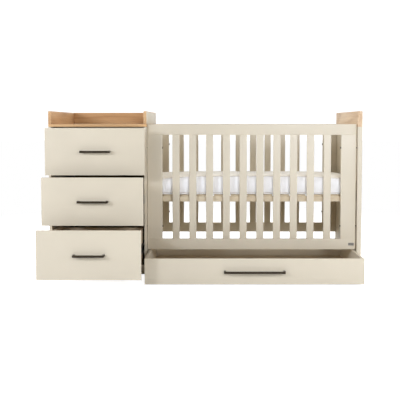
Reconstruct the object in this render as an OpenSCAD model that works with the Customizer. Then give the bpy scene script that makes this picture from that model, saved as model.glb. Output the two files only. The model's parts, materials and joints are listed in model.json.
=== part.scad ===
// Cot with an attached chest of three drawers, a changing tray and an under-bed drawer.
// X runs along the length from the chest to the cot's far end, Y runs from the front to the back,
// Z is up from the floor. The origin is on the floor under the middle of the whole piece's box.

/* [Panels] */
// Depth of the chest and of the far end panel, front to back
depth = 683; // [640:1:740]
// Height of the chest and of the far end panel, up to the tray or the cap
panel_h = 894; // [860:1:930]
// Thickness of the chest's boards
board_t = 16; // [14:1:20]
// Thickness of the far end panel and of its cap
end_t = 26; // [20:1:32]
// Height of the far end's cap, which ends level with the tray's walls
cap_h = 93; // [80:1:110]
// Thickness of the glides under the panels
glide_t = 3; // [2:1:5]
// Length of each glide
glide_len = 40; // [30:1:60]
// Distance of the glides from the front and back edges
glide_inset = 30; // [20:1:60]
// Rounding of the tray's and the cap's long edges
rim_r = 6; // [2:0.5:6.5]

/* [Chest] */
// Outer width of the chest
chest_w = 583; // [540:1:640]
// Height of the lowest drawer front's lower edge above the floor
front_low = 53; // [45:1:70]
// How far the plinth stands behind the chest's front
plinth_setback = 35; // [20:1:60]
// Thickness of the chest's back
back_t = 4; // [3:1:6]
// How far the chest's back stands in from the panels' back edge
back_setback = 5; // [2:1:15]
// Depth of each rail under the tray, front to back
top_rail_d = 80; // [60:1:110]
// How far the front rail under the tray stands behind the chest's front
top_rail_setback = 120; // [10:1:160]

/* [Changing tray] */
// Thickness of the tray's floor
tray_floor_t = 16; // [12:1:20]
// Thickness of the tray's walls
tray_wall_t = 18; // [14:1:20]

/* [Chest drawers] */
// Thickness of a drawer front
front_t = 18; // [15:1:22]
// Gap between two drawer fronts
front_gap = 6.5; // [3:0.5:8]
// Gap between the top drawer front and the tray
front_top_gap = 6.5; // [3:0.5:8]
// How much narrower a front is than the chest, at each side
front_reveal = 2.5; // [1:0.5:5]
// Gap between a closed front and the chest's edges
front_clear = 1; // [0.5:0.5:2]
// How far the upper drawer stands open
upper_open = 80; // [0:1:340]
// How far the middle drawer stands open
middle_open = 172; // [0:1:340]
// How far the lower drawer stands open
lower_open = 308; // [0:1:340]
// Thickness of a drawer box's sides and back
box_t = 16; // [12:1:18]
// Depth of a drawer box behind its front
box_depth = 466; // [440:1:520]
// How far a box's sides stay below the top of its front
box_drop = 46; // [40:1:80]
// How much lower a box's back is than its sides
box_back_drop = 12; // [0:1:30]
// Gap between a box and the chest's bottom, or the same place at the upper drawers
box_floor_gap = 8; // [7:0.5:14]
// Gap between a drawer box and the chest's side, which takes the runners
box_gap = 13; // [12.5:0.5:15]
// Thickness of a drawer's bottom panel
bottom_t = 5; // [4:1:6]
// Height of a drawer's bottom panel above the lower edge of the box
bottom_rise = 12; // [10:1:15]
// Depth of the grooves that hold a bottom panel
groove_d = 5; // [4:1:7]
// Play of a bottom panel in its grooves
groove_play = 0.2; // [0.1:0.1:0.5]

/* [Runners] */
// How much shorter a runner is than its drawer box
runner_short = 16; // [10:1:60]
// Height of a fixed runner
runner_h = 45; // [35:1:50]
// Wall of a runner
runner_t = 1.5; // [1:0.5:2]
// Gap between a fixed runner and the box's side
runner_gap = 2; // [1.5:0.5:3]
// Play between a fixed and a moving runner
runner_play = 0.3; // [0.2:0.1:0.4]

/* [Handles] */
// Overall length of a chest handle
handle_len = 175; // [140:1:240]
// How far a chest handle stands to the right of its front's middle
handle_shift = 3; // [0:0.5:5]
// Overall length of the under-bed drawer's handle
long_handle_len = 345; // [260:1:420]
// How far a handle stands out from its front
handle_reach = 32; // [28:1:40]
// Height of a handle's bar and legs
handle_h = 12; // [9:1:14]
// Thickness of a handle's bar, front to back
handle_bar = 9; // [7:1:11]
// Width of a handle's legs
handle_leg = 11; // [10:1:14]
// Radius of a handle's outer bends
handle_bend = 5; // [3:0.5:6]
// Radius of a handle screw's shank
handle_screw_r = 2; // [1.5:0.5:2.5]
// Length of a handle screw inside the leg
handle_screw_grip = 10; // [8:1:14]
// Radius of a handle screw's head
screw_head_r = 4.5; // [4:0.5:6]
// Height of a handle screw's head
screw_head_h = 2.5; // [2:0.5:4]

/* [Cot sides] */
// Length of the cot between the chest and the far end panel
cot_len = 1254; // [1236:1:1290]
// How far the front side stands behind the panels' front edge
side_setback = 15; // [8:1:30]
// How far the back side stands in from the panels' back edge
side_back_setback = 4; // [2:1:10]
// Thickness of the rails and stiles
side_t = 20; // [18:1:24]
// How far the top rails' upper edge stands above the chest and the far end panel
side_rise = 16; // [0:1:30]
// Height of the bottom rails' lower edge
side_low = 158; // [156:1:180]
// Height of a top or bottom rail
rail_h = 64; // [54:1:76]
// Width of a stile
stile_w = 89; // [75:1:100]
// Gap between a side and the chest
side_gap_chest = 2; // [1:0.5:5]
// Gap between the front side and the far end panel
side_gap_end = 6; // [2:0.5:8]
// Gap between the back side and the far end panel
back_gap_end = 1; // [0.5:0.5:5]
// Width of a slat
slat_w = 42.5; // [36:0.5:48]
// Gap between two slats, which safety rules keep between 45 and 65
slat_gap = 58; // [48:0.5:60]
// Thickness of a slat
slat_t = 14; // [10:1:16]
// Number of slats in a side
slat_count = 10; // [8:1:10]
// Rounding of the long edges of slats, rails and stiles
edge_r = 2; // [1:0.5:3]

/* [Bolts] */
// Radius of a bolt's shank
bolt_r = 3; // [2.5:0.5:4]
// Radius of a bolt's head
bolt_head_r = 6; // [5:0.5:7]
// Height of a bolt's head
bolt_head_h = 4; // [3:0.5:5]
// Play around a bolt's shank
bolt_play = 0.3; // [0.2:0.1:0.5]
// Distance of the side bolts from the rails
bolt_from_rail = 77; // [50:1:120]
// Outer radius of a threaded insert
insert_r = 5; // [4.5:0.5:6]
// Length of a threaded insert
insert_len = 12; // [9:0.5:13]
// Play around an insert in its hole
insert_play = 0.05; // [0.02:0.01:0.1]

/* [Mattress base] */
// Height of the base rails' upper edge
base_top = 477; // [440:1:520]
// Height of a base rail
base_rail_h = 33; // [28:1:40]
// Thickness of a base rail
base_rail_t = 20; // [16:1:24]
// Gap between the base and the sides of the cot
base_gap = 4; // [2:1:6]
// Gap between the base and the panels at its ends
base_end_gap = 1; // [0.5:0.5:3]
// Step between the heights at which the base can be bolted
base_step = 130; // [100:1:140]
// Number of heights at which the base can be bolted
base_levels = 3; // [1:1:3]
// Distance of the base bolts from the front and back rails
base_bolt_inset = 60; // [40:1:100]
// Thickness of a base slat
base_slat_t = 8; // [6:1:10]
// Width of a base slat
base_slat_w = 50; // [40:1:60]
// Number of base slats
base_slat_count = 13; // [12:1:14]
// How far a base slat lies on each long rail
base_slat_rest = 12; // [8:1:14]

/* [Mattress] */
// Gap between the mattress and the panel at each end
mattress_end_gap = 27; // [15:1:30]
// Gap between the mattress and the front and back sides
mattress_side_gap = 12; // [8:1:15]
// Height of the mattress at its middle
mattress_h = 108; // [80:1:140]
// How much the top is crowned between the middle and the edges
mattress_crown = 3; // [0:1:15]
// How much lower the top lies at the back than at the front
mattress_lean = 20; // [0:1:25]
// How much the top drops further at the corners
mattress_droop = 26; // [0:1:30]
// Radius of the corners seen from above
mattress_corner_r = 70; // [40:1:90]
// Rounding of the upper and lower edges
mattress_edge_r = 9; // [8:1:20]
// How far the sides are drawn in between the corners
mattress_draw = 4; // [0:1:8]
// How far the walls swell out at mid height
mattress_swell = 2; // [0:0.5:4]

/* [Under-bed drawer] */
// Gap between the under-bed drawer and the panel at each end
under_gap = 8; // [5:0.5:12]
// Height of the under-bed drawer's lower edge above the floor
under_low = 9; // [6:1:14]
// Gap between the under-bed drawer and the rail above it
under_top_gap = 4; // [3:0.5:8]
// Depth of the under-bed drawer with its front
under_depth = 622; // [560:1:640]
// Thickness of the under-bed drawer's sides and back
under_t = 16; // [14:1:18]
// Thickness of the under-bed drawer's bottom
under_bottom_t = 8; // [6:1:10]
// How far the under-bed drawer stands open
under_open = 258; // [0:1:600]
// Radius of a wheel
wheel_r = 17; // [14:1:18]
// Width of a wheel
wheel_w = 14; // [10:1:18]
// Radius of a wheel's axle
axle_r = 3; // [2.5:0.5:4]
// Play of a wheel on its axle
axle_play = 0.06; // [0.04:0.01:0.1]
// Thickness of a wheel bracket
bracket_t = 3; // [2:0.5:4]
// Gap between a wheel and its bracket
bracket_gap = 1; // [0.5:0.5:2]
// Gap between a wheel and the bracket's plate above it
wheel_top_gap = 4; // [2:0.5:6]
// Distance of a wheel bracket from the drawer's sides, front and back
wheel_inset = 50; // [30:1:90]

/* [Plate] */
// Width of the blank plate on the front's bottom rail
plate_w = 34; // [20:1:50]
// Height of the plate
plate_h = 16; // [8:1:24]
// Thickness of the plate
plate_t = 1.5; // [1:0.5:3]
// Distance of the plate from the rail's end
plate_inset = 8; // [4:1:30]

/* [Hidden] */
$fn = 48;
cream = "AntiqueWhite";
oak = "BurlyWood";
birch = "Wheat";
board_white = "WhiteSmoke";
bronze = "DarkSlateGray";
zinc = "Silver";
cloth = "White";
plastic = "DimGray";

// places along X
chest_in = [board_t, chest_w - board_t];
cot_x = [chest_w, chest_w + cot_len];
total_w = cot_x[1] + end_t;
side_x = [cot_x[0] + side_gap_chest, cot_x[1] - side_gap_end];
back_side_end = cot_x[1] - back_gap_end;
stile_in = [side_x[0] + stile_w, side_x[1] - stile_w];
slat_pitch = slat_w + slat_gap;
slat_row = slat_count * slat_w + (slat_count - 1) * slat_gap;
slat_x0 = (stile_in[0] + stile_in[1] - slat_row) / 2;

// places along Y: each pair is a front and a back face
front_side_y = [side_setback, side_setback + side_t];
back_side_y = [depth - side_back_setback - side_t, depth - side_back_setback];
chest_back_y = [depth - back_setback - back_t, depth - back_setback];

// places along Z
tray_z = [panel_h, panel_h + tray_floor_t];
crown_z = panel_h + cap_h;
front_h = (panel_h - front_top_gap - front_low - 2 * front_gap) / 3;
top_rail_z = [panel_h + side_rise - rail_h, panel_h + side_rise];
low_rail_z = [side_low, side_low + rail_h];
side_bolt_z = [low_rail_z[1] + bolt_from_rail, top_rail_z[0] - bolt_from_rail];

// chest drawers, counted from the lowest
drawer_opens = [lower_open, middle_open, upper_open];
front_w = chest_w - 2 * front_reveal;
handle_x = chest_w / 2 + handle_shift;
box_rise = board_t + box_floor_gap;
box_x = [board_t + box_gap, chest_w - board_t - box_gap];
box_h = front_h - box_drop - box_rise;
runner_len = box_depth - runner_short;

// mattress base and mattress
base_x = [cot_x[0] + base_end_gap, cot_x[1] - base_end_gap];
base_y = [front_side_y[1] + base_gap, back_side_y[0] - base_gap];
base_z = [base_top - base_rail_h, base_top];
base_bolt_y = [base_y[0] + base_rail_t + base_bolt_inset, base_y[1] - base_rail_t - base_bolt_inset];
base_bolt_z = (base_z[0] + base_z[1]) / 2;
base_slat_y = [base_y[0] + base_rail_t - base_slat_rest, base_y[1] - base_rail_t + base_slat_rest];
mattress_z = base_top + base_slat_t;
mattress_len = cot_len - 2 * mattress_end_gap;
mattress_w = back_side_y[0] - front_side_y[1] - 2 * mattress_side_gap;
mattress_mid = [(cot_x[0] + cot_x[1]) / 2, (front_side_y[1] + back_side_y[0]) / 2];

// under-bed drawer
under_x = [cot_x[0] + under_gap, cot_x[1] - under_gap];
under_z = [under_low, side_low - under_top_gap];
under_mid = [(under_x[0] + under_x[1]) / 2, (under_z[0] + under_z[1]) / 2];
under_y0 = side_setback - under_open;
under_y1 = under_y0 + under_depth;
bracket_top = 2 * wheel_r + wheel_top_gap + bracket_t;
under_panel_z = [bracket_top, bracket_top + under_bottom_t];
bracket_len = 2 * wheel_r + 8;
bracket_w = wheel_w + 2 * (bracket_gap + bracket_t);
wheel_x = [under_x[0] + under_t + wheel_inset, under_x[1] - under_t - wheel_inset];
wheel_y = [under_y0 + front_t + wheel_inset, under_y1 - under_t - wheel_inset];

// reach of the open drawers, which sets where the middle of the whole box is
chest_reach = max(drawer_opens) + front_clear + front_t + handle_reach;
under_reach = -under_y0 + handle_reach;
reach = max(chest_reach, under_reach);
origin_y = (depth - reach) / 2;

// ---- shared shapes ----

// moves the piece from the front left corner of the chest to the shared origin
module placed() {
    translate([-total_w / 2, -origin_y, 0]) children();
}

// a square-edged board between two places on each axis
module board(x, y, z) {
    translate([x[0], y[0], z[0]]) cube([x[1] - x[0], y[1] - y[0], z[1] - z[0]]);
}

// a rectangle between two places on each axis, with round corners
module round_rect(a, b, r) {
    translate([a[0] + r, b[0]]) square([a[1] - a[0] - 2 * r, b[1] - b[0]]);
    translate([a[0], b[0] + r]) square([a[1] - a[0], b[1] - b[0] - 2 * r]);
    for (u = [a[0] + r, a[1] - r], v = [b[0] + r, b[1] - r]) translate([u, v]) circle(r);
}

// a board whose edges along X are rounded
module bar_x(x, y, z, r) {
    translate([x[0], 0, 0]) rotate([90, 0, 90]) linear_extrude(x[1] - x[0]) round_rect(y, z, r);
}

// a board whose edges along Y are rounded
module bar_y(x, y, z, r) {
    translate([0, y[1], 0]) rotate([90, 0, 0]) linear_extrude(y[1] - y[0]) round_rect(x, z, r);
}

// a board whose edges along Z are rounded
module bar_z(x, y, z, r) {
    translate([0, 0, z[0]]) linear_extrude(z[1] - z[0]) round_rect(x, y, r);
}

// a wall that is square at its foot and rounded at its top edges, along Y
module rim_y(x, y, z, r) {
    union() {
        bar_y(x, y, z, r);
        board(x, y, [z[0], z[1] - r]);
    }
}

// a round pin or hole along X
module rod_x(x, y, z, r) {
    translate([x[0], y, z]) rotate([0, 90, 0]) cylinder(h = x[1] - x[0], r = r);
}

// a round pin or hole along Y
module rod_y(x, y, z, r) {
    translate([x, y[1], z]) rotate([90, 0, 0]) cylinder(h = y[1] - y[0], r = r);
}

// ---- panels ----

// the holes that take the threaded inserts in a face, with dir 1 where the board lies towards +X
module insert_holes(face_x, dir) {
    hole_x = dir > 0 ? [face_x - 1, face_x + insert_len] : [face_x - insert_len, face_x + 1];
    for (p = insert_places()) rod_x(hole_x, p[0], p[1], insert_r + insert_play);
}

// each insert's place in Y and Z: side bolts first, then the base bolts at every height
function insert_places() = concat(
    [for (y = [front_side_y, back_side_y], z = side_bolt_z) [(y[0] + y[1]) / 2, z]],
    [for (y = base_bolt_y, k = [0 : base_levels - 1]) [y, base_bolt_z - k * base_step]]
);

module chest_side_left() {
    color(cream) placed() board([0, board_t], [0, depth], [glide_t, panel_h]);
}

module chest_side_right() {
    color(cream) placed() difference() {
        board([chest_in[1], chest_w], [0, depth], [glide_t, panel_h]);
        insert_holes(chest_w, -1);
    }
}

module end_panel() {
    color(cream) placed() difference() {
        board([cot_x[1], total_w], [0, depth], [glide_t, panel_h]);
        insert_holes(cot_x[1], 1);
    }
}

module end_cap() {
    color(oak) placed() rim_y([cot_x[1], total_w], [0, depth], [panel_h, crown_z], rim_r);
}

module floor_glides() {
    glide_ys = [[glide_inset, glide_inset + glide_len], [depth - glide_inset - glide_len, depth - glide_inset]];
    color(plastic) placed()
        for (x = [[1, board_t - 1], [chest_in[1] + 1, chest_w - 1], [cot_x[1] + 1, total_w - 1]], y = glide_ys)
            board(x, y, [0, glide_t]);
}

// sleeves flush with the face that the bolts enter
module threaded_inserts() {
    color(zinc) placed() for (p = insert_places()) {
        difference() {
            rod_x([chest_w - insert_len, chest_w], p[0], p[1], insert_r);
            rod_x([chest_w - insert_len - 1, chest_w + 1], p[0], p[1], bolt_r + insert_play);
        }
        difference() {
            rod_x([cot_x[1], cot_x[1] + insert_len], p[0], p[1], insert_r);
            rod_x([cot_x[1] - 1, cot_x[1] + insert_len + 1], p[0], p[1], bolt_r + insert_play);
        }
    }
}

// ---- chest ----

module chest_bottom() {
    color(cream) placed() board(chest_in, [0, chest_back_y[0]], [front_low, front_low + board_t]);
}

module chest_top_rails() {
    z = [panel_h - board_t, panel_h];
    color(cream) placed() {
        board(chest_in, [top_rail_setback, top_rail_setback + top_rail_d], z);
        board(chest_in, [chest_back_y[0] - top_rail_d, chest_back_y[0]], z);
    }
}

module chest_back() {
    color(board_white) placed() board(chest_in, chest_back_y, [front_low, panel_h]);
}

module chest_plinth() {
    color(cream) placed()
        board(chest_in, [plinth_setback, plinth_setback + board_t], [glide_t, front_low]);
}

// ---- changing tray ----

module tray_floor() {
    color(oak) placed() board([0, chest_w], [0, depth], tray_z);
}

module tray_side_left() {
    color(oak) placed() rim_y([0, tray_wall_t], [0, depth], [tray_z[1], crown_z], rim_r);
}

module tray_side_right() {
    color(oak) placed() rim_y([chest_w - tray_wall_t, chest_w], [0, depth], [tray_z[1], crown_z], rim_r);
}

module tray_back() {
    color(oak) placed()
        board([tray_wall_t, chest_w - tray_wall_t], [depth - tray_wall_t, depth], [tray_z[1], crown_z]);
}

// ---- chest drawers: i is 0 for the lower, 1 for the middle and 2 for the upper one ----

function front_z(i) = front_low + i * (front_h + front_gap);
// the plane of a drawer front's back face, as the drawer stands
function front_back_y(i) = -front_clear - drawer_opens[i];
function box_z(i) = front_z(i) + box_rise;
// the lower and upper face of a fixed runner, halfway up the box
function runner_z(i) = [for (s = [-1, 1]) box_z(i) + (box_h + s * runner_h) / 2];

// the two screw holes of a handle in the front that it is bolted to
module handle_holes(x_mid, z_mid, len, y) {
    for (x = leg_places(x_mid, len)) rod_y(x, [y[0] - 1, y[1] + 1], z_mid, handle_screw_r + bolt_play);
}

// where a handle's legs and screws stand along X
function leg_places(x_mid, len) = [for (s = [-1, 1]) x_mid + s * (len - handle_leg) / 2];

// bent bar with two legs on a front whose face is at y_face
module bar_handle(x_mid, z_mid, len, y_face) {
    ends = [x_mid - len / 2, x_mid + len / 2];
    difference() {
        translate([0, 0, z_mid - handle_h / 2]) linear_extrude(handle_h) difference() {
            union() {
                round_rect(ends, [y_face - handle_reach, y_face], handle_bend);
                translate([ends[0], y_face - handle_reach + handle_bend])
                    square([len, handle_reach - handle_bend]);
            }
            translate([ends[0] + handle_leg, y_face - handle_reach + handle_bar])
                square([len - 2 * handle_leg, handle_reach]);
        }
        for (x = leg_places(x_mid, len))
            rod_y(x, [y_face - handle_screw_grip - 1, y_face + 1], z_mid, handle_screw_r + insert_play);
    }
}

// a handle's two screws, whose heads lie on the back of the front
module handle_screws(x_mid, z_mid, len, y_face) {
    for (x = leg_places(x_mid, len)) {
        rod_y(x, [y_face - handle_screw_grip, y_face + front_t], z_mid, handle_screw_r);
        rod_y(x, [y_face + front_t, y_face + front_t + screw_head_h], z_mid, screw_head_r);
    }
}

module drawer_front(i) {
    y = [front_back_y(i) - front_t, front_back_y(i)];
    color(cream) placed() difference() {
        board([front_reveal, front_reveal + front_w], y, [front_z(i), front_z(i) + front_h]);
        handle_holes(handle_x, front_z(i) + front_h / 2, handle_len, y);
    }
}

module drawer_sides(i) {
    y = [front_back_y(i), front_back_y(i) + box_depth];
    z = [box_z(i), box_z(i) + box_h];
    groove_z = [z[0] + bottom_rise - groove_play, z[0] + bottom_rise + bottom_t + groove_play];
    color(board_white) placed() {
        difference() {
            board([box_x[0], box_x[0] + box_t], y, z);
            board([box_x[0] + box_t - groove_d, box_x[0] + box_t + 1], [y[0] - 1, y[1] + 1], groove_z);
        }
        difference() {
            board([box_x[1] - box_t, box_x[1]], y, z);
            board([box_x[1] - box_t - 1, box_x[1] - box_t + groove_d], [y[0] - 1, y[1] + 1], groove_z);
        }
    }
}

module drawer_back(i) {
    y1 = front_back_y(i) + box_depth;
    z = [box_z(i) + bottom_rise + bottom_t, box_z(i) + box_h - box_back_drop];
    color(board_white) placed() board([box_x[0] + box_t, box_x[1] - box_t], [y1 - box_t, y1], z);
}

module drawer_bottom(i) {
    x = [box_x[0] + box_t - groove_d + groove_play, box_x[1] - box_t + groove_d - groove_play];
    z = [box_z(i) + bottom_rise, box_z(i) + bottom_rise + bottom_t];
    color(board_white) placed() board(x, [front_back_y(i), front_back_y(i) + box_depth], z);
}

// the fixed runners: channels on the chest's sides, open towards the boxes
module chest_runners() {
    color(zinc) placed() for (i = [0 : 2]) {
        fixed_runner(i, chest_in[0]);
        translate([chest_w, 0, 0]) mirror([1, 0, 0]) fixed_runner(i, chest_in[0]);
    }
}

module fixed_runner(i, x0) {
    y = [front_clear, front_clear + runner_len];
    z = runner_z(i);
    difference() {
        board([x0, x0 + box_gap - runner_gap], y, z);
        board([x0 + runner_t, x0 + box_gap], [y[0] - 1, y[1] + 1], [z[0] + runner_t, z[1] - runner_t]);
    }
}

// the moving runners: channels on the box's sides, which slide inside the fixed ones
module drawer_runners(i) {
    color(zinc) placed() {
        moving_runner(i, chest_in[0]);
        translate([chest_w, 0, 0]) mirror([1, 0, 0]) moving_runner(i, chest_in[0]);
    }
}

module moving_runner(i, x0) {
    inset = runner_t + runner_play;
    x = [x0 + inset, x0 + box_gap];
    y = [front_back_y(i) + front_clear, front_back_y(i) + front_clear + runner_len];
    z = [runner_z(i)[0] + inset, runner_z(i)[1] - inset];
    difference() {
        board(x, y, z);
        board([x[0] - 1, x[1] - runner_t], [y[0] - 1, y[1] + 1], [z[0] + runner_t, z[1] - runner_t]);
    }
}

module drawer_screws(i) {
    color(zinc) placed()
        handle_screws(handle_x, front_z(i) + front_h / 2, handle_len, front_back_y(i) - front_t);
}

module drawer_handle(i) {
    color(bronze) placed()
        bar_handle(handle_x, front_z(i) + front_h / 2, handle_len, front_back_y(i) - front_t);
}

// ---- cot sides: y is the front and back face of the side, end_x its end towards the far end panel ----

module side_rail(y, z, end_x) {
    color(cream) placed() bar_x([side_x[0], end_x], y, z, edge_r);
}

// the two wide uprights, each bored through for its bolts
module side_stiles(y, end_x) {
    color(cream) placed() for (x = [[side_x[0], stile_in[0]], [stile_in[1], end_x]]) difference() {
        bar_z(x, y, [low_rail_z[1], top_rail_z[0]], edge_r);
        for (z = side_bolt_z) rod_x([x[0] - 1, x[1] + 1], (y[0] + y[1]) / 2, z, bolt_r + bolt_play);
    }
}

module side_slats(y) {
    slat_y = [(y[0] + y[1] - slat_t) / 2, (y[0] + y[1] + slat_t) / 2];
    color(cream) placed() for (k = [0 : slat_count - 1]) {
        x0 = slat_x0 + k * slat_pitch;
        bar_z([x0, x0 + slat_w], slat_y, [low_rail_z[1], top_rail_z[0]], edge_r);
    }
}

// a bolt along X: its head starts at head_x and its shank ends at tip_x
module bolt(head_x, tip_x, y, z) {
    head = head_x > tip_x ? [head_x, head_x + bolt_head_h] : [head_x - bolt_head_h, head_x];
    rod_x([min(head_x, tip_x), max(head_x, tip_x)], y, z, bolt_r);
    rod_x(head, y, z, bolt_head_r);
}

module side_bolts() {
    color(bronze) placed() for (y = [front_side_y, back_side_y], z = side_bolt_z) {
        bolt(stile_in[0], chest_w - insert_len + 1, (y[0] + y[1]) / 2, z);
        bolt(stile_in[1], cot_x[1] + insert_len - 1, (y[0] + y[1]) / 2, z);
    }
}

// bare plate near the far end of the front's bottom rail
module blank_plate() {
    x = [side_x[1] - plate_inset - plate_w, side_x[1] - plate_inset];
    z_mid = (low_rail_z[0] + low_rail_z[1]) / 2;
    color(bronze) placed() translate([0, front_side_y[0], 0]) rotate([90, 0, 0]) linear_extrude(plate_t)
        round_rect(x, [z_mid - plate_h / 2, z_mid + plate_h / 2], edge_r);
}

// ---- mattress base ----

module base_long_rails() {
    color(birch) placed() {
        bar_x(base_x, [base_y[0], base_y[0] + base_rail_t], base_z, edge_r);
        bar_x(base_x, [base_y[1] - base_rail_t, base_y[1]], base_z, edge_r);
    }
}

module base_end_rails() {
    y = [base_y[0] + base_rail_t, base_y[1] - base_rail_t];
    color(birch) placed() for (x = [[base_x[0], base_x[0] + base_rail_t], [base_x[1] - base_rail_t, base_x[1]]])
        difference() {
            board(x, y, base_z);
            for (v = base_bolt_y) rod_x([x[0] - 1, x[1] + 1], v, base_bolt_z, bolt_r + bolt_play);
        }
}

// boards across the two long rails, evenly spread from end to end
module base_slats() {
    run = base_x[1] - base_x[0] - base_slat_w;
    color(birch) placed() for (k = [0 : base_slat_count - 1]) {
        x0 = base_x[0] + k * run / (base_slat_count - 1);
        board([x0, x0 + base_slat_w], base_slat_y, [base_top, base_top + base_slat_t]);
    }
}

module base_bolts() {
    color(bronze) placed() for (y = base_bolt_y) {
        bolt(base_x[0] + base_rail_t, chest_w - insert_len + 1, y, base_bolt_z);
        bolt(base_x[1] - base_rail_t, cot_x[1] + insert_len - 1, y, base_bolt_z);
    }
}

// ---- mattress ----

corner_steps = 5;
long_steps = 10;
short_steps = 5;
half = [mattress_len / 2, mattress_w / 2];
flat = [half[0] - mattress_corner_r, half[1] - mattress_corner_r];

// a point on a round corner: q counts the corners, a runs from 0 to 90 degrees
function corner_point(q, a) =
    let (c = [[1, -1], [1, 1], [-1, 1], [-1, -1]][q], t = a - 90 + 90 * q)
    [c[0] * flat[0] + mattress_corner_r * cos(t), c[1] * flat[1] + mattress_corner_r * sin(t)];

// a point on a straight side after corner q, drawn in between the corners
function side_point(q, t) =
    let (a = corner_point(q, 90), b = corner_point((q + 1) % 4, 0), n = [[-1, 0], [0, -1], [1, 0], [0, 1]][q])
    a + t * (b - a) + n * mattress_draw * sin(180 * t);

// the outline seen from above, counter-clockwise
outline = [for (q = [0 : 3]) each concat(
    [for (k = [0 : corner_steps]) corner_point(q, 90 * k / corner_steps)],
    let (steps = q % 2 == 0 ? short_steps : long_steps)
    [for (k = [1 : steps - 1]) side_point(q, k / steps)]
)];
ring_size = len(outline);

// the top's height at a place: lower towards the back, the edges and the corners
function top_h(p) =
    let (u = abs(p[0]) / half[0], v = abs(p[1]) / half[1])
    mattress_h - mattress_lean * p[1] / (2 * half[1]) - mattress_crown * max(pow(u, 4), pow(v, 4))
        - mattress_droop * pow(u, 5) * pow(v, 5);

// a ring: the outline moved inwards by inset, at a share of the height, or off the top by drop
function inward(p, inset) = p - inset * [p[0] / half[0], p[1] / half[1]];
function wall_ring(inset, z_share, drop) = [for (p = outline)
    let (q = inward(p, inset), h = top_h(p))
    [q[0], q[1], drop > 0 ? h - drop : h * z_share]];
function crown_ring(s) = [for (p = outline)
    let (q = inward(p, mattress_edge_r) * s) [q[0], q[1], top_h(q) - (s == 1 ? 0.3 : 0)]];

// the rings round the lower edge, from the underside to the wall
function lower_ring(a) = [for (p = wall_ring(mattress_edge_r * (1 - sin(a)), 0, 0))
    [p[0], p[1], mattress_edge_r * (1 - cos(a))]];
// the rings round the upper edge, from the wall to the top
function upper_ring(a) = wall_ring(mattress_edge_r * (1 - cos(a)), 0, mattress_edge_r * (1 - sin(a)));

edge_steps = 3;
rings = concat(
    [for (k = [0 : edge_steps]) lower_ring(90 * k / edge_steps)],
    [wall_ring(-mattress_swell, 0.5, 0)],
    [for (k = [0 : edge_steps - 1]) upper_ring(90 * k / edge_steps)],
    [for (s = [1, 0.93, 0.8, 0.6, 0.35]) crown_ring(s)]
);
ring_count = len(rings);

module mattress() {
    points = concat([for (r = rings) each r], [[0, 0, 0], [0, 0, mattress_h]]);
    low_mid = ring_count * ring_size;
    function at(r, k) = r * ring_size + k % ring_size;
    faces = concat(
        [for (k = [0 : ring_size - 1]) [low_mid, at(0, k), at(0, k + 1)]],
        [for (r = [0 : ring_count - 2], k = [0 : ring_size - 1]) each [
            [at(r, k), at(r + 1, k), at(r + 1, k + 1)],
            [at(r, k), at(r + 1, k + 1), at(r, k + 1)]]],
        [for (k = [0 : ring_size - 1]) [low_mid + 1, at(ring_count - 1, k + 1), at(ring_count - 1, k)]]
    );
    color(cloth) placed() translate([mattress_mid[0], mattress_mid[1], mattress_z])
        polyhedron(points = points, faces = faces, convexity = 4);
}

// ---- under-bed drawer ----

module underbed_front() {
    y = [under_y0, under_y0 + front_t];
    color(cream) placed() difference() {
        board(under_x, y, under_z);
        handle_holes(under_mid[0], under_mid[1], long_handle_len, y);
    }
}

module underbed_sides() {
    y = [under_y0 + front_t, under_y1];
    groove_z = [under_panel_z[0] - groove_play, under_panel_z[1] + groove_play];
    color(cream) placed() {
        difference() {
            board([under_x[0], under_x[0] + under_t], y, under_z);
            board([under_x[0] + under_t - groove_d, under_x[0] + under_t + 1], [y[0] - 1, y[1] + 1], groove_z);
        }
        difference() {
            board([under_x[1] - under_t, under_x[1]], y, under_z);
            board([under_x[1] - under_t - 1, under_x[1] - under_t + groove_d], [y[0] - 1, y[1] + 1], groove_z);
        }
    }
}

module underbed_back() {
    color(cream) placed() board([under_x[0] + under_t, under_x[1] - under_t],
        [under_y1 - under_t, under_y1], [under_panel_z[1], under_z[1]]);
}

module underbed_bottom() {
    x = [under_x[0] + under_t - groove_d + groove_play, under_x[1] - under_t + groove_d - groove_play];
    color(board_white) placed() board(x, [under_y0 + front_t, under_y1], under_panel_z);
}

module underbed_handle() {
    color(bronze) placed() bar_handle(under_mid[0], under_mid[1], long_handle_len, under_y0);
}

module underbed_screws() {
    color(zinc) placed() handle_screws(under_mid[0], under_mid[1], long_handle_len, under_y0);
}

// forks under the drawer's bottom, each with its axle
module wheel_brackets() {
    color(zinc) placed() for (x = wheel_x, y = wheel_y) union() {
        half_w = bracket_w / 2;
        board([x - half_w, x + half_w], [y - bracket_len / 2, y + bracket_len / 2],
            [bracket_top - bracket_t, bracket_top]);
        for (cheek = [[x - half_w, x - half_w + bracket_t], [x + half_w - bracket_t, x + half_w]])
            board(cheek, [y - wheel_r / 2, y + wheel_r / 2], [wheel_r - axle_r - 2, bracket_top]);
        rod_x([x - half_w, x + half_w], y, wheel_r, axle_r);
    }
}

module wheel_pair(y) {
    color(plastic) placed() for (x = wheel_x) difference() {
        rod_x([x - wheel_w / 2, x + wheel_w / 2], y, wheel_r, wheel_r);
        rod_x([x - wheel_w, x + wheel_w], y, wheel_r, axle_r + axle_play);
    }
}

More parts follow.
